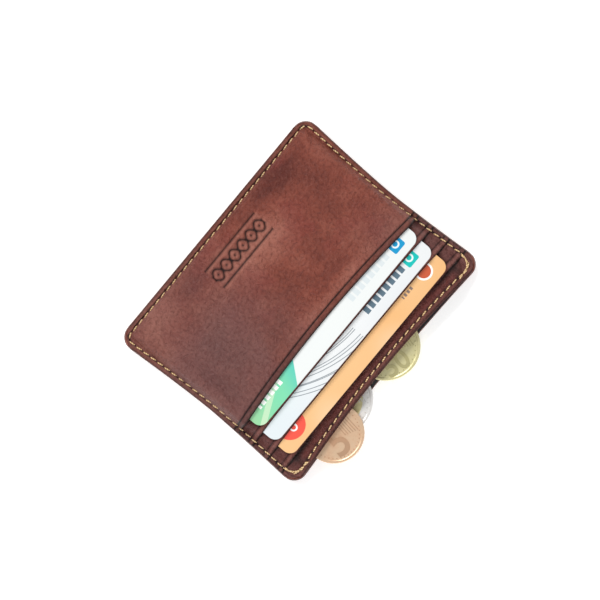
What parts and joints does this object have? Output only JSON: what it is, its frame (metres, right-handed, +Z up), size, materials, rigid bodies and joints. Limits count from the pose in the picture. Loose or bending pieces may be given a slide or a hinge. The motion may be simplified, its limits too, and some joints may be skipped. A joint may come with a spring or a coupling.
{
  "type": "card wallet",
  "caption": "Slim leather wallet lying on its back, with stacked card slots in front, a coin pocket open at the top edge, and removable cards and coins.",
  "frame": {"origin": "middle of the back panel's flat face, on the surface it lies on, half way between the two short sides and half way along the leather body", "axes": "+X along the long side, +Y towards the open edge where cards and coins go in, +Z up out of the front panel"},
  "size_m": [0.1008, 0.0888, 0.0113],
  "materials": {
    "leather": "waxed, mottled, satin",
    "cloth": "woven black lining",
    "thread": "waxed thread",
    "card_pale": "printed, satin",
    "card_warm": "printed, satin",
    "coin_brass": "worn coin metal",
    "coin_two_tone": "worn coin metal with a yellow core",
    "coin_copper": "worn copper-plated coin"
  },
  "bodies": {
    "wallet": {"back_panel": "leather", "back_lining": "cloth", "pocket_lining": "cloth", "base_panel": "leather", "slot_strip_front": "leather", "slot_strip_middle": "leather", "slot_strip_rear": "leather", "foot_thread_front": "thread", "foot_thread_middle": "thread", "foot_thread_rear": "thread", "front_panel": "leather", "seam_thread_front": "thread", "seam_thread_back": "thread", "hem_thread_front": "thread", "hem_thread_back": "thread", "bar_tack_left": "thread", "bar_tack_right": "thread"},
    "front_card": {"card_front": "card_pale"},
    "middle_card": {"card_middle": "card_pale"},
    "rear_card": {"card_rear": "card_warm"},
    "brass_coin": {"coin_brass": "coin_brass"},
    "two_tone_coin": {"coin_two_tone": "coin_two_tone"},
    "copper_coin": {"coin_copper": "coin_copper"}
  },
  "joints": [
    {"name": "front_card_slide", "type": "slide", "parent": "wallet", "child": "front_card", "axis": [0, 0.9979, 0.0645], "range_m": [0, 0.049]},
    {"name": "middle_card_slide", "type": "slide", "parent": "wallet", "child": "middle_card", "axis": [0, 0.9979, 0.0645], "range_m": [0, 0.049]},
    {"name": "rear_card_slide", "type": "slide", "parent": "wallet", "child": "rear_card", "axis": [0, 0.9979, 0.0645], "range_m": [0, 0.049]},
    {"name": "brass_coin_slide", "type": "slide", "parent": "wallet", "child": "brass_coin", "axis": [0, 1, 0], "range_m": [0, 0.02]},
    {"name": "two_tone_coin_slide", "type": "slide", "parent": "wallet", "child": "two_tone_coin", "axis": [0, 1, 0], "range_m": [0, 0.022]},
    {"name": "copper_coin_slide", "type": "slide", "parent": "wallet", "child": "copper_coin", "axis": [0, 1, 0], "range_m": [0, 0.013]}
  ]
}
